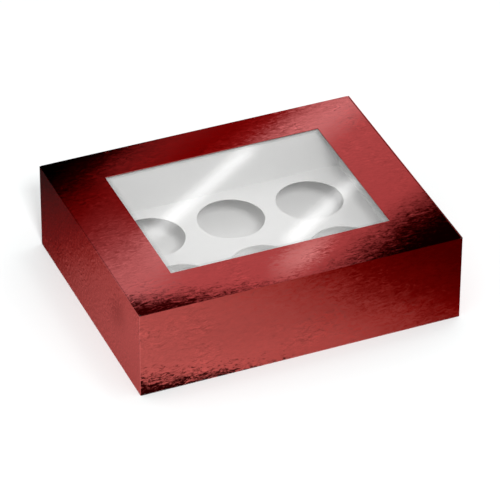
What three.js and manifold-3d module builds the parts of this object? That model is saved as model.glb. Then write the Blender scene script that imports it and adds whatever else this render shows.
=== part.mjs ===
// Cupcake box: a folded foil-card tray with a hinged window lid, over a folded white insert with six holes.
// Units are millimetres. X runs along the box, Y from the front to the hinge at the back, Z up.
// The origin is the centre of the underside. The box is drawn closed.

import * as THREE from 'three';
import { mergeVertices } from 'three/addons/utils/BufferGeometryUtils.js';
import Module from 'manifold-3d';

const wasm = await Module();
wasm.setup();

// Outside of the closed box
const boxLength = 315;
const boxWidth = 255;
const boxHeight = 88;

// Foil card
const board = 0.6;
const foldRadius = 0.6;
const foldSteps = 4;
const outerCorner = 1.0;

// Air left between two cards that lie together, and between the insert and the film above it
const cardGap = 0.3;
const rimClearance = 0.5;

// Glued tabs inside the ends of the tray's side walls
const tabLength = 32;
const tabHeight = 50;

// Window in the lid, set towards the hinge
const windowLength = 215;
const windowWidth = 164.4;
const windowShift = 5;
const windowCorner = 0.8;

// Clear film glued under the window
const filmThickness = 0.3;
const filmGlue = 0.1;
const filmOverlap = 10;
const filmCorner = 3;

// Tuck flap at the front of the lid, which leans in so that it swings clear of the front wall
const flapDepth = 25;
const flapLean = THREE.MathUtils.degToRad(5);
const flapSideInset = 6;
const flapCorner = 10;

// Ears at the sides of the lid
const earDepth = 22;
const earFrontInset = 6;
const earLength = 175;
const earCorner = 9;
const earTaper = 14;

// Notch between the tuck flap and an ear
const lidNotch = 1.2;

// White insert: a recessed deck with holes, walls up to a rim, and legs down to the floor
const insertBoard = 0.6;
const insertFoldRadius = 0.6;
const deckHeight = 42;
const recessLength = 258;
const recessWidth = 168;
const holeDiameter = 64;
const holePitch = 80;
const holeColumns = 3;
const holeRows = 2;
const holeSegments = 72;
const insertSlit = 0.3;

// Where the lid lies between the walls
const lidInset = board + cardGap;
const lidUnderside = boxHeight - board;
const foldOuter = foldRadius + board / 2;

// Where the insert lies: the flap and the ears take room at the front and at the sides
const flapRoom = lidInset + board + flapDepth * Math.sin(flapLean) + cardGap;
const earRoom = lidInset + board + cardGap;
const insertHalfLength = boxLength / 2 - earRoom;
const insertFront = -boxWidth / 2 + flapRoom;
const insertBack = boxWidth / 2 - lidInset;
const insertCentre = (insertFront + insertBack) / 2;
const filmTop = lidUnderside - filmGlue;
const rimTop = filmTop - filmThickness - rimClearance;
const legBottom = board + cardGap;
const insertFoldOuter = insertFoldRadius + insertBoard / 2;

const foilCard = { color: 0xa8403f, roughness: 0.3, metalness: 0.85 };
const clearFilm = { color: 0xf2f5f5, roughness: 0.05, metalness: 0, transparent: true, opacity: 0.2 };
const whiteCard = { color: 0xe4e4e2, roughness: 0.7, metalness: 0 };

// A closed three.js geometry as a manifold solid
function solidOf(geometry) {
  geometry.deleteAttribute('normal');
  geometry.deleteAttribute('uv');
  const merged = mergeVertices(geometry);
  const vertProperties = new Float32Array(merged.attributes.position.array);
  const triVerts = new Uint32Array(merged.index.array);
  return new wasm.Manifold(new wasm.Mesh({ numProp: 3, vertProperties, triVerts }));
}

// A manifold solid as a named mesh with its own material
function meshOf(name, solid, finish) {
  const { vertProperties, triVerts } = solid.getMesh();
  const geometry = new THREE.BufferGeometry();
  geometry.setAttribute('position', new THREE.BufferAttribute(new Float32Array(vertProperties), 3));
  geometry.setIndex(new THREE.BufferAttribute(new Uint32Array(triVerts), 1));
  geometry.computeVertexNormals();
  const mesh = new THREE.Mesh(geometry, new THREE.MeshStandardMaterial(finish));
  mesh.name = name;
  return mesh;
}

function block(low, high) {
  const size = high.map((value, axis) => value - low[axis]);
  const centre = high.map((value, axis) => (value + low[axis]) / 2);
  return solidOf(new THREE.BoxGeometry(...size).translate(...centre));
}

// Frames that stand an outline up: its x and y become the first two axes, its depth runs along the third
const alongX = new THREE.Matrix4().makeBasis(axisY(), axisZ(), axisX());
const alongY = new THREE.Matrix4().makeBasis(axisX(), axisZ(), axisY().negate());
const alongZ = new THREE.Matrix4();

function axisX() {
  return new THREE.Vector3(1, 0, 0);
}

function axisY() {
  return new THREE.Vector3(0, 1, 0);
}

function axisZ() {
  return new THREE.Vector3(0, 0, 1);
}

// An outline with the given depth, centred on the middle plane of its frame
function prism(outline, depth, frame) {
  const geometry = new THREE.ExtrudeGeometry(new THREE.Shape(outline), { depth, bevelEnabled: false });
  return solidOf(geometry.translate(0, 0, -depth / 2).applyMatrix4(frame));
}

// The points of an arc that rounds the corner between two straight runs
function roundedCorner(before, corner, after, radius, steps) {
  const back = before.clone().sub(corner).normalize();
  const ahead = after.clone().sub(corner).normalize();
  const halfAngle = Math.acos(THREE.MathUtils.clamp(back.dot(ahead), -1, 1)) / 2;
  const centre = back.clone().add(ahead).setLength(radius / Math.sin(halfAngle)).add(corner);
  const start = back.multiplyScalar(radius / Math.tan(halfAngle)).add(corner).sub(centre);
  const turn = Math.PI - 2 * halfAngle;
  const side = Math.sign(corner.clone().sub(before).cross(after.clone().sub(corner)));
  const points = [];
  for (let step = 0; step <= steps; step += 1) {
    points.push(start.clone().rotateAround(new THREE.Vector2(), side * turn * step / steps).add(centre));
  }
  return points;
}

// A closed outline whose corners are rounded; a corner with no radius stays sharp
function roundedOutline(corners, steps = foldSteps) {
  return corners.flatMap(([x, y, radius], index) => {
    const corner = new THREE.Vector2(x, y);
    if (!radius) return [corner];
    const before = new THREE.Vector2(...corners.at(index - 1).slice(0, 2));
    const after = new THREE.Vector2(...corners[(index + 1) % corners.length].slice(0, 2));
    return roundedCorner(before, corner, after, radius, steps);
  });
}

// The outline of a card folded along a path of corners, seen from its end
function foldedOutline(path, thickness, radius) {
  const corners = path.map(([x, y]) => new THREE.Vector2(x, y));
  const centreLine = corners.flatMap((corner, index) => {
    const isEnd = index === 0 || index === corners.length - 1;
    return isEnd ? [corner] : roundedCorner(corners[index - 1], corner, corners[index + 1], radius, foldSteps);
  });
  const offset = (distance) => centreLine.map((point, index) => {
    const last = centreLine.length - 1;
    const from = Math.min(index, last - 1);
    const ahead = centreLine[from + 1].clone().sub(centreLine[from]).normalize();
    const into = point.clone().sub(centreLine[Math.max(index - 1, 0)]).normalize();
    const along = into.add(ahead).normalize();
    return new THREE.Vector2(-along.y, along.x).multiplyScalar(distance / along.dot(ahead)).add(point);
  });
  return [...offset(thickness / 2), ...offset(-thickness / 2).reverse()];
}

function mirrored(solid) {
  return solid.mirror([1, 0, 0]);
}

// Tray: base and four walls, with the front and back walls' tabs glued inside the side walls
function makeTray() {
  const middle = board / 2;
  const frontFace = -boxWidth / 2 + middle;
  const backFace = boxWidth / 2 - middle;
  const sideFace = boxLength / 2 - middle;
  const backTop = lidUnderside - cardGap;
  const longPath = [[frontFace, boxHeight], [frontFace, middle], [backFace, middle], [backFace, backTop]];
  const sidePath = [[-sideFace, boxHeight], [-sideFace, middle], [sideFace, middle], [sideFace, boxHeight]];
  const longStrip = prism(foldedOutline(longPath, board, foldRadius), boxLength, alongX);
  const sideStrip = prism(foldedOutline(sidePath, board, foldRadius), boxWidth, alongY);
  const shell = longStrip.add(sideStrip);
  const trimmed = shell.intersect(trayTrim());
  return [1, -1].reduce((tray, end) => {
    const tab = glueTab(end);
    return tray.add(tab).add(mirrored(tab));
  }, trimmed);
}

// The tray's outside with its upright corners rounded
function trayTrim() {
  const x = boxLength / 2;
  const y = boxWidth / 2;
  const corners = [[-x, -y, outerCorner], [x, -y, outerCorner], [x, y, outerCorner], [-x, y, outerCorner]];
  return prism(roundedOutline(corners), 2 * boxHeight, alongZ);
}

function glueTab(end) {
  const outer = boxLength / 2 - board;
  const root = end * (boxWidth / 2 - board);
  const tip = root - end * tabLength;
  return block([outer - board, Math.min(root, tip), board], [outer, Math.max(root, tip), tabHeight]);
}

// Lid: a panel with the tuck flap folded down at its front and an ear at each side, and the window cut out
function makeLid() {
  const middle = boxHeight - board / 2;
  const front = -boxWidth / 2 + lidInset;
  const halfLength = boxLength / 2 - lidInset;
  const flapRun = flapDepth - foldOuter;
  const flapTip = [front + board / 2 + flapRun * Math.sin(flapLean), middle - flapRun * Math.cos(flapLean)];
  const flapPath = [[boxWidth / 2, middle], [front + board / 2, middle], flapTip];
  const earLine = halfLength - board / 2;
  const earTip = boxHeight - earDepth;
  const earPath = [[-earLine, earTip], [-earLine, middle], [earLine, middle], [earLine, earTip]];
  const flapStrip = prism(foldedOutline(flapPath, board, foldRadius), 2 * (halfLength - lidNotch), alongX);
  const earStripDepth = boxWidth - lidInset - lidNotch;
  const earStrip = prism(foldedOutline(earPath, board, foldRadius), earStripDepth, alongY);
  const placedEars = earStrip.translate([0, (boxWidth / 2 + front + lidNotch) / 2, 0]);
  const flap = flapStrip.intersect(flapTrim(halfLength));
  const ears = placedEars.intersect(earTrim());
  return flap.add(ears).subtract(windowCut());
}

// Keeps the whole panel, and below it only the tuck flap's own outline
function flapTrim(halfLength) {
  const x = halfLength - flapSideInset;
  const low = boxHeight - flapDepth;
  const shoulder = boxHeight - foldOuter;
  const corners = [
    [-boxLength, boxHeight + board],
    [-boxLength, shoulder],
    [-x, shoulder],
    [-x, low, flapCorner],
    [x, low, flapCorner],
    [x, shoulder],
    [boxLength, shoulder],
    [boxLength, boxHeight + board],
  ];
  return prism(roundedOutline(corners), 2 * boxWidth, alongY);
}

// Keeps the whole panel, and below it only the ears' own outline
function earTrim() {
  const front = -boxWidth / 2 + lidInset + earFrontInset;
  const back = front + earLength;
  const low = boxHeight - earDepth;
  const shoulder = boxHeight - foldOuter;
  const corners = [
    [-boxWidth, boxHeight + board],
    [-boxWidth, shoulder],
    [front, shoulder],
    [front, low, earCorner],
    [back - earTaper, low, earCorner],
    [back, shoulder],
    [boxWidth, shoulder],
    [boxWidth, boxHeight + board],
  ];
  return prism(roundedOutline(corners), 2 * boxLength, alongX);
}

function rectangle(length, width, centreY, radius) {
  const x = length / 2;
  const low = centreY - width / 2;
  const high = centreY + width / 2;
  return roundedOutline([[-x, low, radius], [x, low, radius], [x, high, radius], [-x, high, radius]]);
}

function windowCut() {
  return prism(rectangle(windowLength, windowWidth, windowShift, windowCorner), 4 * boxHeight, alongZ);
}

// Film: a flat sheet glued to the lid's underside, larger than the window all round
function makeWindowFilm() {
  const length = windowLength + 2 * filmOverlap;
  const width = windowWidth + 2 * filmOverlap;
  const outline = rectangle(length, width, windowShift, filmCorner);
  return prism(outline, filmThickness, alongZ).translate([0, 0, filmTop - filmThickness / 2]);
}

// The path of the insert's card across one direction: leg, rim, recess wall, deck, and the same back up
function insertPath(lowLeg, lowWall, highWall, highLeg) {
  const rim = rimTop - insertBoard / 2;
  const deck = deckHeight - insertBoard / 2;
  return [
    [lowLeg, legBottom],
    [lowLeg, rim],
    [lowWall, rim],
    [lowWall, deck],
    [highWall, deck],
    [highWall, rim],
    [highLeg, rim],
    [highLeg, legBottom],
  ];
}

// Insert: one cross-shaped card. Its front and back rims and legs run the whole length of the box.
function makeInsert() {
  const middle = insertBoard / 2;
  const legX = insertHalfLength - middle;
  const wallX = recessLength / 2 + middle;
  const lowWall = insertCentre - recessWidth / 2 - middle;
  const highWall = insertCentre + recessWidth / 2 + middle;
  const longPath = insertPath(insertFront + middle, lowWall, highWall, insertBack - middle);
  const sidePath = insertPath(-legX, -wallX, wallX, legX);
  const longOutline = foldedOutline(longPath, insertBoard, insertFoldRadius);
  const sideOutline = foldedOutline(sidePath, insertBoard, insertFoldRadius);
  const longStrip = prism(longOutline, 2 * insertHalfLength, alongX);
  const sideStripWidth = recessWidth - 2 * insertSlit;
  const sideStrip = prism(sideOutline, sideStripWidth, alongY).translate([0, insertCentre, 0]);
  const relief = cornerRelief();
  const cross = longStrip.subtract(relief).subtract(mirrored(relief)).add(sideStrip);
  return holeCentres().reduce((card, centre) => card.subtract(holeCut(centre)), cross);
}

// What is cut from the long strip so that its deck and recess walls end at the side walls of the recess
function cornerRelief() {
  const start = recessLength / 2 - insertSlit;
  const reach = recessWidth / 2 + insertFoldOuter;
  return block([start, insertCentre - reach, 0], [boxLength, insertCentre + reach, boxHeight]);
}

function holeCentres() {
  const centres = [];
  for (let row = 0; row < holeRows; row += 1) {
    for (let column = 0; column < holeColumns; column += 1) {
      const x = (column - (holeColumns - 1) / 2) * holePitch;
      const y = insertCentre + (row - (holeRows - 1) / 2) * holePitch;
      centres.push([x, y]);
    }
  }
  return centres;
}

function holeCut([x, y]) {
  const depth = 2 * insertFoldOuter;
  const cutter = new THREE.CylinderGeometry(holeDiameter / 2, holeDiameter / 2, depth, holeSegments);
  return solidOf(cutter.rotateX(Math.PI / 2).translate(x, y, deckHeight - insertBoard / 2));
}

const cupcakeBox = new THREE.Group();
cupcakeBox.add(meshOf('tray', makeTray(), foilCard));
cupcakeBox.add(meshOf('lid', makeLid(), foilCard));
cupcakeBox.add(meshOf('window_film', makeWindowFilm(), clearFilm));
cupcakeBox.add(meshOf('insert', makeInsert(), whiteCard));

export default cupcakeBox;
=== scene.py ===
"""Cupcake box in red foil card, on a pale floor under soft studio light. Lengths are metres."""
from math import radians

import bpy
from mathutils import Matrix, Vector


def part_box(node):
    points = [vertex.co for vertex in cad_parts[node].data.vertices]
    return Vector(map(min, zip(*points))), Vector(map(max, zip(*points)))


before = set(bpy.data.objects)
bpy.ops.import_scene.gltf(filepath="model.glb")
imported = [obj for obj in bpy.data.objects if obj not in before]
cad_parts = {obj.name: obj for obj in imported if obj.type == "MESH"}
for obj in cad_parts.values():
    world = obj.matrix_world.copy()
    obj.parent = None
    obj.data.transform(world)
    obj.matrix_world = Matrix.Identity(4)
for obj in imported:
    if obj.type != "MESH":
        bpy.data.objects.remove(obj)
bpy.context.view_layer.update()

# The closed box and its film, from the frame
tray_low, tray_high = (Vector(corner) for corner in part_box("tray"))
film_low, film_high = (Vector(corner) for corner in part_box("window_film"))
BOX_LENGTH = tray_high.x - tray_low.x
BOX_WIDTH = tray_high.y - tray_low.y
BOX_HEIGHT = tray_high.z - tray_low.z

# Camera: where it stands, how it is turned, and its lens on a sensor 36 mm wide
EYE = Vector((-1.1385, -2.6892, 2.1142))
AZIMUTH = radians(-22.98)
ELEVATION = radians(35.47)
ROLL = radians(0.334)
LENS = 278.7
SENSOR = 36.0

# The card's thickness and a little more
CARD = 0.0007

# Millimetres in a metre, and the box's half length, half width and height in millimetres: the foil's tones
# and crinkles are laid out in them
MM = 1000.0
HALF_LENGTH = BOX_LENGTH * MM / 2
HALF_WIDTH = BOX_WIDTH * MM / 2
HEIGHT = BOX_HEIGHT * MM


def srgb(red, green, blue):
    """A display colour, each channel 0 to 255, as linear values with full alpha."""
    def linear(value):
        value /= 255
        return value / 12.92 if value <= 0.04045 else ((value + 0.055) / 1.055) ** 2.4
    return linear(red), linear(green), linear(blue), 1.0


class Nodes:
    """A new node material and short calls that add nodes to it."""

    def __init__(self, name):
        self.material = bpy.data.materials.new(name)
        self.material.use_nodes = True
        self.tree = self.material.node_tree
        self.tree.nodes.clear()

    def add(self, kind, **settings):
        node = self.tree.nodes.new(kind)
        for key, value in settings.items():
            setattr(node, key, value)
        return node

    def link(self, value, socket):
        if isinstance(value, bpy.types.NodeSocket):
            self.tree.links.new(value, socket)
        else:
            socket.default_value = value

    def math(self, operation, first, second=0.0, third=0.0, clamp=False):
        node = self.add("ShaderNodeMath", operation=operation, use_clamp=clamp)
        for value, socket in zip((first, second, third), node.inputs):
            self.link(value, socket)
        return node.outputs[0]

    def weighted(self, pairs, offset=0.0):
        """The sum of values times weights, plus an offset."""
        total = offset
        for value, weight in pairs:
            total = self.math("MULTIPLY_ADD", value, weight, total)
        return total

    def step(self, value, start, end):
        """0 below start, 1 above end, smooth between them."""
        node = self.add("ShaderNodeMapRange", interpolation_type="SMOOTHSTEP")
        self.link(value, node.inputs["Value"])
        self.link(start, node.inputs["From Min"])
        self.link(end, node.inputs["From Max"])
        return node.outputs["Result"]

    def mix(self, factor, first, second):
        node = self.add("ShaderNodeMix", data_type="RGBA")
        self.link(factor, node.inputs[0])
        self.link(first, node.inputs[6])
        self.link(second, node.inputs[7])
        return node.outputs[2]

    def ramp(self, value, low, high, stops):
        """A colour ramp whose stops are given in the value's own units."""
        node = self.add("ShaderNodeValToRGB")
        elements = node.color_ramp.elements
        while len(elements) < len(stops):
            elements.new(1.0)
        for element, (place, colour) in zip(elements, stops):
            element.position = (place - low) / (high - low)
            element.color = colour
        self.link(self.math("DIVIDE", self.math("SUBTRACT", value, low), high - low), node.inputs["Fac"])
        return node.outputs["Color"]

    def noise(self, vector, scale, detail=3.0, roughness=0.5, distortion=0.0):
        node = self.add("ShaderNodeTexNoise")
        self.link(vector, node.inputs["Vector"])
        settings = {"Scale": scale, "Detail": detail, "Roughness": roughness, "Distortion": distortion}
        for key, value in settings.items():
            node.inputs[key].default_value = value
        return node.outputs["Fac"]

    def stretched(self, vector, scale):
        node = self.add("ShaderNodeMapping")
        self.link(vector, node.inputs["Vector"])
        node.inputs["Scale"].default_value = scale
        return node.outputs["Vector"]

    def scaled(self, vector, factor):
        node = self.add("ShaderNodeVectorMath", operation="SCALE")
        self.link(vector, node.inputs[0])
        self.link(factor, node.inputs["Scale"])
        return node.outputs[0]

    def vectors(self, operation, first, second):
        """Two vectors added, subtracted or turned into their dot product."""
        node = self.add("ShaderNodeVectorMath", operation=operation)
        self.link(first, node.inputs[0])
        self.link(second, node.inputs[1])
        return node.outputs["Value" if operation == "DOT_PRODUCT" else "Vector"]

    def bump(self, height, strength, distance, normal=None):
        node = self.add("ShaderNodeBump")
        node.inputs["Strength"].default_value = strength
        node.inputs["Distance"].default_value = distance
        self.link(height, node.inputs["Height"])
        if normal is not None:
            self.link(normal, node.inputs["Normal"])
        return node.outputs["Normal"]

    def object_space(self):
        """The point on the object and its normal, both in the object's own axes."""
        node = self.add("ShaderNodeTexCoord")
        return node.outputs["Object"], node.outputs["Normal"]

    def parts(self, vector):
        node = self.add("ShaderNodeSeparateXYZ")
        self.link(vector, node.inputs[0])
        return node.outputs[0], node.outputs[1], node.outputs[2]

    def surface(self, shader):
        output = self.add("ShaderNodeOutputMaterial")
        self.tree.links.new(shader.outputs[0], output.inputs["Surface"])
        return self.material


# Foil tones along each face's sheen, which is painted reflection: millimetres from the sheen's start, and
# the display colour there. The foil's red lies between painted dark reflections and painted pink highlights.
# The lid's left part has its own
TOP_PAINTED_SHEEN = (
    (18, (0, 0, 0)),
    (34, (12, 0, 0)),
    (46, (52, 10, 10)),
    (60, (98, 25, 25)),
    (80, (112, 24, 24)),
    (108, (106, 8, 8)),
    (130, (126, 27, 27)),
    (157, (186, 98, 98)),
    (174, (192, 106, 106)),
    (205, (168, 70, 70)),
    (300, (160, 62, 62)),
    (332, (58, 12, 12)),
    (350, (10, 0, 0)),
)
LEFT_PAINTED_SHEEN = (
    (18, (0, 0, 0)),
    (40, (28, 0, 0)),
    (76, (92, 12, 12)),
    (103, (114, 31, 31)),
    (130, (140, 55, 55)),
    (160, (170, 84, 84)),
    (184, (178, 90, 90)),
    (240, (160, 60, 60)),
)
FRONT_PAINTED_SHEEN = (
    (-27, (163, 73, 69)),
    (44, (152, 62, 58)),
    (80, (134, 43, 39)),
    (98, (113, 22, 19)),
    (116, (88, 3, 2)),
    (158, (60, 0, 0)),
)
SIDE_PAINTED_SHEEN = (
    (14, (0, 0, 0)),
    (42, (75, 0, 0)),
    (66, (106, 12, 10)),
    (90, (144, 54, 51)),
    (113, (169, 79, 76)),
    (165, (184, 93, 90)),
)

# Which way each painted sheen runs, as weights of the face's two axes. It starts at the lid's left back
# corner, the front's left top corner and the side's back top corner
LID_SHEEN = (0.53, -0.848)
FRONT_SHEEN = (0.568, 0.823)
SIDE_SHEEN = (-0.61, -0.79)

# How far from the lid's left edge the painted sheen of its left part gives way to the other, in millimetres
LEFT_START = 20.0
LEFT_END = 75.0

# The crinkles' size in millimetres, how they are stretched along the box, and the shift that gives their
# slope for painted light and shade
CRINKLE = 3.8
CRINKLE_STRETCH = (0.5, 1.0, 1.0)
CRINKLE_SHIFT = (0.0, 0.7, 0.7)

# How far the crinkles' height, their slope and a wide swell scatter a tone to either side, in millimetres,
# and the swell's waves per millimetre
GRAIN_SCATTER = 40.0
RELIEF_SCATTER = 95.0
SWELL_SCATTER = 16.0
SWELL_SCALE = 0.03

# The part of that scatter on the lid's back half, where the painted sheen is soft, and on the front
CALM = 0.45
FRONT_SCATTER = 0.9

# Painted light and shade on the crinkles: how much their slope lightens and darkens the foil, how much more
# in patches, the patches' size, and the heights of their noise at which a patch begins and is full
CRINKLE_PAINTED_SHADING = 0.85
PATCH_PAINTED_SHADING = 1.6
PATCH = 42.0
PATCH_EDGE = (0.45, 0.7)

# How much lighter than its tones the foil is, to make up for what it doesn't reflect
FOIL_GAIN = 1.09

# The front face gains a little light towards its foot, over this many millimetres
LOW_BAND = 50.0
LOW_GAIN = 0.25

# Painted dark reflections, as wedges at the lid's left front corner and at the front's left foot: how deep
# each is at the corner and how far it reaches along the edge, in millimetres, its colour, how much of the
# scatter shifts the rims, and how soft they are to either side as a share of the depth
LID_CORNER = (25.0, 108.0)
LID_CORNER_PAINTED_DARK = srgb(46, 4, 5)
FRONT_CORNER = (17.0, 92.0)
FRONT_CORNER_PAINTED_DARK = srgb(36, 1, 2)
CORNER_JITTER = 0.7
CORNER_SOFTNESS = 0.6

# Which way the painted glint on the lid and the streaks in the film run, seen from above
SLANT = Vector((0.819, 0.574))

# A painted highlight, a light glint on the lid's front strip: its middle, measured from the lid's left front
# corner, its half length and half width in millimetres, its strength, how much of the scatter it takes, and
# its colour
GLINT = (172.0, 34.0)
GLINT_HALF_LENGTH = 62.0
GLINT_HALF_WIDTH = 24.0
GLINT_STRENGTH = 0.9
GLINT_JITTER = 0.5
PAINTED_GLINT_COLOUR = srgb(198, 116, 114)

# A faint painted dark reflection on the sides: its middle, measured from the front foot, how it slants up
# towards the front, its half length and half width in millimetres, and its depth
DARK_REFLECTION_MIDDLE = (56.0, 56.0)
DARK_REFLECTION_SLANT = (0.64, 0.77)
DARK_REFLECTION_HALF_LENGTH = 30.0
DARK_REFLECTION_HALF_WIDTH = 15.0
DARK_REFLECTION_DEPTH = 0.3

# On a rounded fold, one face's tones give way to the next one's between these two sizes of the part of the
# normal that points out of the next face
FOLD_TURN = (0.6, 0.8)


def crinkle_height(nodes, place):
    """Noise for the height of the foil's fine crinkles, 0 to 1."""
    return nodes.noise(nodes.stretched(place, CRINKLE_STRETCH), 1 / CRINKLE, 8.0, 0.66, 0.6)


def painted_sheen(nodes, place, way, start, scatter, tones):
    """The foil's colour with its painted reflection at a place on a face; scatter is the crinkles' shift and
    its weight.
    """
    first, second = place
    offset = -(way[0] * start[0] + way[1] * start[1])
    value = nodes.weighted(((first, way[0]), (second, way[1]), scatter), offset)
    low, high = tones[0][0], tones[-1][0]
    return nodes.ramp(value, low, high, [(at, srgb(*colour)) for at, colour in tones])


def oval(nodes, place, way, half_length, half_width, scatter):
    """How far out a place is in a slanting oval: 0 at its middle, 1 at its rim, which the scatter shifts."""
    first, second = place
    jitter, share = scatter
    along = nodes.weighted(((first, way[0] / half_length), (second, way[1] / half_length)))
    across = nodes.weighted(((first, -way[1] / half_width), (second, way[0] / half_width),
                             (jitter, share / half_width)))
    squared = nodes.math("MULTIPLY_ADD", along, along, nodes.math("MULTIPLY", across, across))
    return nodes.math("SQRT", squared)


def painted_dark_corner(nodes, from_left, from_edge, jitter, depth, reach):
    """A painted dark reflection as a wedge, deepest at the left corner, that thins out along the edge; 1 is
    fully dark.
    """
    limit = nodes.weighted(((from_left, -depth / reach),), depth)
    place = nodes.math("MULTIPLY_ADD", jitter, CORNER_JITTER, nodes.math("SUBTRACT", from_edge, limit))
    softness = depth * CORNER_SOFTNESS
    return nodes.math("SUBTRACT", 1.0, nodes.step(place, -softness, softness))


def painted_front_glint(nodes, from_left, from_front, jitter):
    """How much of the painted glint a point of the lid takes."""
    place = (nodes.math("SUBTRACT", from_left, GLINT[0]), nodes.math("SUBTRACT", from_front, GLINT[1]))
    spread = oval(nodes, place, SLANT, GLINT_HALF_LENGTH, GLINT_HALF_WIDTH, (jitter, GLINT_JITTER))
    return nodes.math("MULTIPLY", nodes.step(spread, 1.0, 0.0), GLINT_STRENGTH)


def side_dark_reflection(nodes, from_front, up, jitter):
    """How much darker the painted dark reflection makes a point of the side."""
    place = (nodes.math("SUBTRACT", DARK_REFLECTION_MIDDLE[0], from_front), nodes.math("SUBTRACT", up, DARK_REFLECTION_MIDDLE[1]))
    spread = oval(nodes, place, DARK_REFLECTION_SLANT, DARK_REFLECTION_HALF_LENGTH, DARK_REFLECTION_HALF_WIDTH, (jitter, 1.0))
    return nodes.math("MULTIPLY", nodes.step(spread, 1.2, 0.1), DARK_REFLECTION_DEPTH)


def lid_colour(nodes, x, y, jitter):
    """The lid: its painted sheen, a painted glint on the front strip, and a painted dark reflection at the
    left front corner.
    """
    from_left = nodes.math("ADD", x, HALF_LENGTH)
    from_front = nodes.math("ADD", y, HALF_WIDTH)
    rough = nodes.math("MULTIPLY_ADD", nodes.step(from_front, HALF_WIDTH, 0.0), 1 - CALM, CALM)
    scatter = (nodes.math("MULTIPLY", jitter, rough), 1.0)
    left, rest = (painted_sheen(nodes, (x, y), LID_SHEEN, (-HALF_LENGTH, HALF_WIDTH), scatter, tones)
                  for tones in (LEFT_PAINTED_SHEEN, TOP_PAINTED_SHEEN))
    colour = nodes.mix(nodes.step(from_left, LEFT_START, LEFT_END), left, rest)
    colour = nodes.mix(painted_front_glint(nodes, from_left, from_front, jitter), colour, PAINTED_GLINT_COLOUR)
    painted_wedge = painted_dark_corner(nodes, from_left, from_front, jitter, *LID_CORNER)
    return nodes.mix(painted_wedge, colour, LID_CORNER_PAINTED_DARK)


def front_colour(nodes, x, z, jitter):
    """The front and back: their painted sheen, a painted dark reflection at the left foot, and painted light
    low down.
    """
    from_left = nodes.math("ADD", x, HALF_LENGTH)
    start = (-HALF_LENGTH, HEIGHT)
    colour = painted_sheen(nodes, (x, z), FRONT_SHEEN, start, (jitter, FRONT_SCATTER), FRONT_PAINTED_SHEEN)
    painted_wedge = painted_dark_corner(nodes, from_left, z, jitter, *FRONT_CORNER)
    painted_low_light = nodes.math("MULTIPLY_ADD", nodes.step(z, LOW_BAND, 0.0), LOW_GAIN, 1.0)
    return nodes.scaled(nodes.mix(painted_wedge, colour, FRONT_CORNER_PAINTED_DARK), painted_low_light)


def side_colour(nodes, y, z, jitter):
    """The two sides: their painted sheen and a faint painted dark reflection."""
    colour = painted_sheen(nodes, (y, z), SIDE_SHEEN, (HALF_WIDTH, HEIGHT), (jitter, 1.0), SIDE_PAINTED_SHEEN)
    painted_darkening = side_dark_reflection(nodes, nodes.math("ADD", y, HALF_WIDTH), z, jitter)
    return nodes.scaled(colour, nodes.math("SUBTRACT", 1.0, painted_darkening))


def foil_colour(nodes, point, normal):
    """Red foil: soft diagonal tones of painted reflection on every face, broken up by crinkles where a tone
    turns to the next, and painted light and shade on the crinkles.
    """
    place = nodes.scaled(point, MM)
    x, y, z = nodes.parts(place)
    grain = crinkle_height(nodes, place)
    beside = crinkle_height(nodes, nodes.vectors("ADD", place, CRINKLE_SHIFT))
    # The crinkles' slope, which also goes into the colour as painted light and shade
    relief = nodes.math("SUBTRACT", grain, beside)
    swell = nodes.noise(place, SWELL_SCALE, 2.0)
    jitter = nodes.weighted(((grain, GRAIN_SCATTER), (relief, RELIEF_SCATTER), (swell, SWELL_SCATTER)),
                            -(GRAIN_SCATTER + SWELL_SCATTER) / 2)
    along_x, _, along_z = (nodes.math("ABSOLUTE", part) for part in nodes.parts(normal))
    walls = nodes.mix(nodes.step(along_x, *FOLD_TURN), front_colour(nodes, x, z, jitter),
                      side_colour(nodes, y, z, jitter))
    colour = nodes.mix(nodes.step(along_z, *FOLD_TURN), walls, lid_colour(nodes, x, y, jitter))
    patches = nodes.step(nodes.noise(place, 1 / PATCH, 2.0), *PATCH_EDGE)
    # The crinkles' slope lightens and darkens the colour as painted light and shade, more so in patches
    strength = nodes.math("MULTIPLY_ADD", patches, PATCH_PAINTED_SHADING, CRINKLE_PAINTED_SHADING)
    return nodes.scaled(colour, nodes.math("MULTIPLY_ADD", relief, strength, FOIL_GAIN))


# How far down from the top the tray's inner faces take on the foil's red, as its cut edges do, in metres
CUT_DEPTH = 0.0016
CUT_COLOUR = srgb(150, 50, 48)

# How light the plain inside is, 0 to 255. The lid's is darker as painted shade, because it faces the lamps
# once it is open
TRAY_INSIDE = 244
LID_INSIDE_PAINTED_SHADE = 206

# How rough the foil and the plain card are, and the tint of their glare
FOIL_ROUGHNESS = 0.32
PAPER_ROUGHNESS = 0.74
GLARE_TINT = (0.5, 0.36, 0.36, 1.0)

# The foil's raised crinkles: the length of each axis in millimetres per metre, stretched a little along the
# box, and their height in metres. Then the plain card's fibres per metre, and their height in metres
RAISED_STRETCH = (MM * 0.6, MM, MM)
CRINKLE_RISE = 0.00025
FIBRES = 900.0
FIBRE_RISE = 0.00005

# A face looks up where its normal's upward part is above the first of these, and is upright below the second
LOOKS_UP = 0.8
UPRIGHT = 0.3


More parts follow.
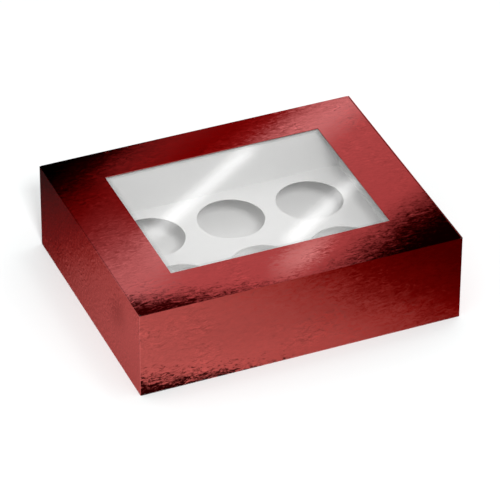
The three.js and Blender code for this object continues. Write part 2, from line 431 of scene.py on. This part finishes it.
def foil_card(name, open_top, inside, cut_depth):
    """Card that is foil outside and plain inside; open_top keeps the floor, which looks up, unfoiled."""
    nodes = Nodes(name)
    point, normal = nodes.object_space()
    from_middle = nodes.vectors("SUBTRACT", point, (0.0, 0.0, BOX_HEIGHT / 2))
    is_foil = nodes.math("GREATER_THAN", nodes.vectors("DOT_PRODUCT", from_middle, normal), 0.0)
    _, _, up = nodes.parts(normal)
    _, _, level = nodes.parts(point)
    if open_top:
        inside_floor = nodes.math("MULTIPLY", nodes.math("GREATER_THAN", up, LOOKS_UP),
                                  nodes.math("LESS_THAN", level, BOX_HEIGHT - CARD))
        is_foil = nodes.math("SUBTRACT", is_foil, inside_floor, clamp=True)
    crinkles = nodes.noise(nodes.stretched(point, RAISED_STRETCH), 1 / CRINKLE, 6.0, 0.7, 0.5)
    fibres = nodes.noise(point, FIBRES, 4.0, 0.6)
    foil_relief = nodes.bump(nodes.math("MULTIPLY", crinkles, is_foil), 0.35, CRINKLE_RISE)
    is_paper = nodes.math("SUBTRACT", 1.0, is_foil)
    relief = nodes.bump(nodes.math("MULTIPLY", fibres, is_paper), 0.2, FIBRE_RISE, foil_relief)
    dark, light = inside - 4, inside + 4
    paper = nodes.mix(fibres, srgb(dark, dark, dark - 1), srgb(light, light, light - 1))
    is_upright = nodes.math("LESS_THAN", nodes.math("ABSOLUTE", up), UPRIGHT)
    is_cut = nodes.math("MULTIPLY", is_upright, nodes.math("GREATER_THAN", level, BOX_HEIGHT - cut_depth))
    paper = nodes.mix(is_cut, paper, CUT_COLOUR)
    roughness = nodes.weighted(((is_foil, FOIL_ROUGHNESS - PAPER_ROUGHNESS), (crinkles, 0.08)),
                               PAPER_ROUGHNESS)
    shader = nodes.add("ShaderNodeBsdfPrincipled")
    nodes.link(nodes.mix(is_foil, paper, foil_colour(nodes, point, normal)), shader.inputs["Base Color"])
    nodes.link(is_foil, shader.inputs["Metallic"])
    nodes.link(roughness, shader.inputs["Roughness"])
    nodes.link(relief, shader.inputs["Normal"])
    shader.inputs["Specular Tint"].default_value = GLARE_TINT
    return nodes.surface(shader)


# The white card's darkest and lightest tone, how much of the light it lets through, and that light's colour
CARD_DARK = srgb(222, 222, 222)
CARD_LIGHT = srgb(232, 232, 231)
CARD_GLOW = 0.3
GLOW_COLOUR = srgb(245, 245, 243)

# Its fibres per metre along each axis, its clouds per metre, and the height of its fibres in metres
CARD_FIBRES = (700.0, 1100.0, 1100.0)
CARD_CLOUDS = 60.0
CARD_RISE = 0.00004


def white_card():
    """Uncoated white card with faint fibres."""
    nodes = Nodes("white_card")
    point, _ = nodes.object_space()
    fibres = nodes.noise(nodes.stretched(point, CARD_FIBRES), 1.0, 5.0, 0.6)
    clouds = nodes.noise(point, CARD_CLOUDS, 3.0)
    tone = nodes.weighted(((fibres, 0.5), (clouds, 0.5)))
    shader = nodes.add("ShaderNodeBsdfPrincipled")
    nodes.link(nodes.mix(tone, CARD_DARK, CARD_LIGHT), shader.inputs["Base Color"])
    nodes.link(nodes.weighted(((clouds, 0.12),), 0.6), shader.inputs["Roughness"])
    nodes.link(nodes.bump(fibres, 0.15, CARD_RISE), shader.inputs["Normal"])
    glow = nodes.add("ShaderNodeBsdfTranslucent")
    glow.inputs["Color"].default_value = GLOW_COLOUR
    card = nodes.add("ShaderNodeMixShader")
    card.inputs[0].default_value = CARD_GLOW
    nodes.link(shader.outputs[0], card.inputs[1])
    nodes.link(glow.outputs[0], card.inputs[2])
    return nodes.surface(card)


# The film's refractive index; its gloss counts both of its surfaces on the outer one
FILM_INDEX = 1.6
FILM_SURFACES = 1.9

# How far the film reaches under the card round the window, and the width of the band of painted shade inside
# its edges, in metres
FILM_OVERLAP = 0.01
SHADE_WIDTH = 0.006

# What the film lets through in the clear and in the painted shade, and the painted shade's strength at its
# near edges
FILM_CLEAR = (0.99, 0.99, 0.99, 1.0)
FILM_PAINTED_SHADE = (0.72, 0.72, 0.72, 1.0)
NEAR_SHADE = 0.5


def painted_window_shade(nodes, point):
    """How much painted shade the film takes near the window's edges: most along the window's right and back
    edges.
    """
    x, y, _ = nodes.parts(point)
    from_right = nodes.math("SUBTRACT", film_high.x - FILM_OVERLAP, x)
    from_back = nodes.math("SUBTRACT", film_high.y - FILM_OVERLAP, y)
    from_left = nodes.math("SUBTRACT", x, film_low.x + FILM_OVERLAP)
    from_front = nodes.math("SUBTRACT", y, film_low.y + FILM_OVERLAP)
    from_far_edges = nodes.math("MINIMUM", from_right, from_back)
    from_near_edges = nodes.math("MINIMUM", from_left, from_front)
    far_shade = nodes.step(from_far_edges, SHADE_WIDTH, 0.0)
    near_shade = nodes.math("MULTIPLY", nodes.step(from_near_edges, SHADE_WIDTH, 0.0), NEAR_SHADE)
    in_window = nodes.math("GREATER_THAN", nodes.math("MINIMUM", from_far_edges, from_near_edges), 0.0)
    return nodes.math("MULTIPLY", nodes.math("MAXIMUM", far_shade, near_shade), in_window)


def clear_film():
    """Clear glossy film: mostly see-through, with the faintest waves in its gloss."""
    nodes = Nodes("clear_film")
    point, _ = nodes.object_space()
    waves = nodes.noise(nodes.stretched(point, (5.0, 9.0, 9.0)), 1.0, 2.0)
    gloss = nodes.add("ShaderNodeBsdfGlossy")
    gloss.inputs["Color"].default_value = (1.0, 1.0, 1.0, 1.0)
    nodes.link(nodes.weighted(((waves, 0.03),), 0.03), gloss.inputs["Roughness"])
    clear = nodes.add("ShaderNodeBsdfTransparent")
    nodes.link(nodes.mix(painted_window_shade(nodes, point), FILM_CLEAR, FILM_PAINTED_SHADE), clear.inputs["Color"])
    fresnel = nodes.add("ShaderNodeFresnel")
    fresnel.inputs["IOR"].default_value = FILM_INDEX
    face = nodes.add("ShaderNodeNewGeometry")
    outside = nodes.math("MULTIPLY", nodes.math("SUBTRACT", 1.0, face.outputs["Backfacing"]), FILM_SURFACES)
    shader = nodes.add("ShaderNodeMixShader")
    nodes.link(nodes.math("MULTIPLY", fresnel.outputs[0], outside), shader.inputs[0])
    nodes.link(clear.outputs[0], shader.inputs[1])
    nodes.link(gloss.outputs[0], shader.inputs[2])
    return nodes.surface(shader)


def dress(node, material):
    """Gives a node of the frame its material."""
    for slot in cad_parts[node].material_slots:
        slot.material = material


# A square's corners in order, each way 1 from its middle
SQUARE = ((-1, -1), (1, -1), (1, 1), (-1, 1))


def mesh_object(name, vertices, faces):
    mesh = bpy.data.meshes.new(name)
    mesh.from_pydata(vertices, [], faces)
    obj = bpy.data.objects.new(name, mesh)
    bpy.context.collection.objects.link(obj)
    return obj


def make_camera():
    camera = bpy.data.objects.new("camera", bpy.data.cameras.new("camera"))
    bpy.context.collection.objects.link(camera)
    camera.data.lens = LENS
    camera.data.sensor_width = SENSOR
    camera.data.sensor_fit = "HORIZONTAL"
    camera.data.clip_end = 50.0
    turn = Matrix.Rotation(AZIMUTH, 4, "Z") @ Matrix.Rotation(radians(90) - ELEVATION, 4, "X")
    camera.matrix_world = Matrix.Translation(EYE) @ turn @ Matrix.Rotation(ROLL, 4, "Z")
    bpy.context.scene.camera = camera


# How far the floor reaches each way in metres, its colour, and how much of its look is its own white; light
# and shadow make the rest
FLOOR_REACH = 12.0
FLOOR_COLOUR = (0.74, 0.76, 0.76, 1.0)
FLOOR_WHITE = 0.12


def make_floor():
    """A wide pale floor that keeps the box's soft shadow."""
    corners = [(x * FLOOR_REACH, y * FLOOR_REACH, 0.0) for x, y in SQUARE]
    floor = mesh_object("floor", corners, [(0, 1, 2, 3)])
    nodes = Nodes("floor")
    pale = nodes.add("ShaderNodeBsdfDiffuse")
    pale.inputs["Color"].default_value = FLOOR_COLOUR
    white = nodes.add("ShaderNodeEmission")
    rays = nodes.add("ShaderNodeLightPath")
    seen = nodes.math("MAXIMUM", rays.outputs["Is Camera Ray"], rays.outputs["Is Glossy Ray"])
    seen = nodes.math("MAXIMUM", seen, rays.outputs["Is Transmission Ray"])
    shader = nodes.add("ShaderNodeMixShader")
    nodes.link(nodes.math("MULTIPLY", seen, FLOOR_WHITE), shader.inputs[0])
    nodes.link(pale.outputs[0], shader.inputs[1])
    nodes.link(white.outputs[0], shader.inputs[2])
    floor.data.materials.append(nodes.surface(shader))


def make_world():
    """Even white light from all round."""
    world = bpy.data.worlds.new("world")
    world.use_nodes = True
    background = world.node_tree.nodes["Background"]
    background.inputs["Color"].default_value = (1.0, 1.0, 1.0, 1.0)
    background.inputs["Strength"].default_value = 1.0
    bpy.context.scene.world = world


# Square lamps: their side, and the place and power of each. The key hangs over the box's back right, and the
# fill near the camera, where it lights the floors of the holes
LAMP_SIZE = 0.5
LAMPS = (
    ("key", (0.75, 0.4, 3.0), 7.0),
    ("fill", (-0.58, -2.31, 2.2), 68.0),
)


def make_lamps():
    """The lamps face the box and make no glare on the foil."""
    middle = Vector((0, 0, BOX_HEIGHT / 2))
    for name, place, power in LAMPS:
        lamp = bpy.data.lights.new(name, "AREA")
        lamp.shape = "SQUARE"
        lamp.size = LAMP_SIZE
        lamp.energy = power
        obj = bpy.data.objects.new(name, lamp)
        obj.location = place
        obj.rotation_euler = (middle - Vector(place)).to_track_quat("-Z", "Y").to_euler()
        obj.visible_glossy = False
        bpy.context.collection.objects.link(obj)


# Strip lamps that show in the film as two slanting streaks: where each streak's middle lies on the film, its
# half length and half width there, and the strips' height above the film and strength
STREAKS = (
    ((-0.0325, 0.0333), 0.105, 0.0135),
    ((0.0575, -0.0383), 0.072, 0.0135),
)
STRIP_HEIGHT = 0.7
STRIP_STRENGTH = 2.35


def seen_in_film(spot):
    """Where a strip lamp at its height has to be for the camera to see it at this spot of the film."""
    spot = Vector((spot[0], spot[1], film_high.z))
    way = spot - EYE
    return spot + Vector((way.x, way.y, -way.z)) * (STRIP_HEIGHT / -way.z)


def strip_material():
    """Soft-edged light: full along the strip's middle, and none at its rim."""
    nodes = Nodes("strip_light")
    node = nodes.add("ShaderNodeUVMap")
    node.uv_map = "across"
    u, v, _ = nodes.parts(node.outputs[0])
    edge = nodes.math("SUBTRACT", 1.0, nodes.math("ABSOLUTE", nodes.weighted(((u, 2.0),), -1.0)))
    end = nodes.math("SUBTRACT", 1.0, nodes.math("ABSOLUTE", nodes.weighted(((v, 2.0),), -1.0)))
    soft = nodes.math("MULTIPLY", nodes.step(edge, 0.0, 1.0), nodes.step(end, 0.0, 0.35))
    light = nodes.add("ShaderNodeEmission")
    nodes.link(nodes.math("MULTIPLY", soft, STRIP_STRENGTH), light.inputs["Strength"])
    clear = nodes.add("ShaderNodeBsdfTransparent")
    both = nodes.add("ShaderNodeAddShader")
    nodes.link(light.outputs[0], both.inputs[0])
    nodes.link(clear.outputs[0], both.inputs[1])
    return nodes.surface(both)


def make_strips():
    """Only the film and other glossy faces see the strips."""
    across = Vector((-SLANT.y, SLANT.x))
    material = strip_material()
    for index, (middle, half_length, half_width) in enumerate(STREAKS):
        corners = [seen_in_film(Vector(middle) + side * half_width * across + end * half_length * SLANT)
                   for side, end in SQUARE]
        strip = mesh_object(f"strip_{index}", corners, [(0, 1, 2, 3)])
        layer = strip.data.uv_layers.new(name="across")
        for loop, (side, end) in zip(layer.data, SQUARE):
            loop.uv = ((side + 1) / 2, (end + 1) / 2)
        strip.data.materials.append(material)
        strip.visible_camera = False
        strip.visible_diffuse = False
        strip.visible_shadow = False


make_camera()
make_floor()
make_world()
make_lamps()
make_strips()

dress("tray", foil_card("foil_card_tray", open_top=True, inside=TRAY_INSIDE, cut_depth=CUT_DEPTH))
dress("lid", foil_card("foil_card_lid", open_top=False, inside=LID_INSIDE_PAINTED_SHADE, cut_depth=CARD))
dress("insert", white_card())
dress("window_film", clear_film())

bpy.context.scene.view_settings.view_transform = "Standard"
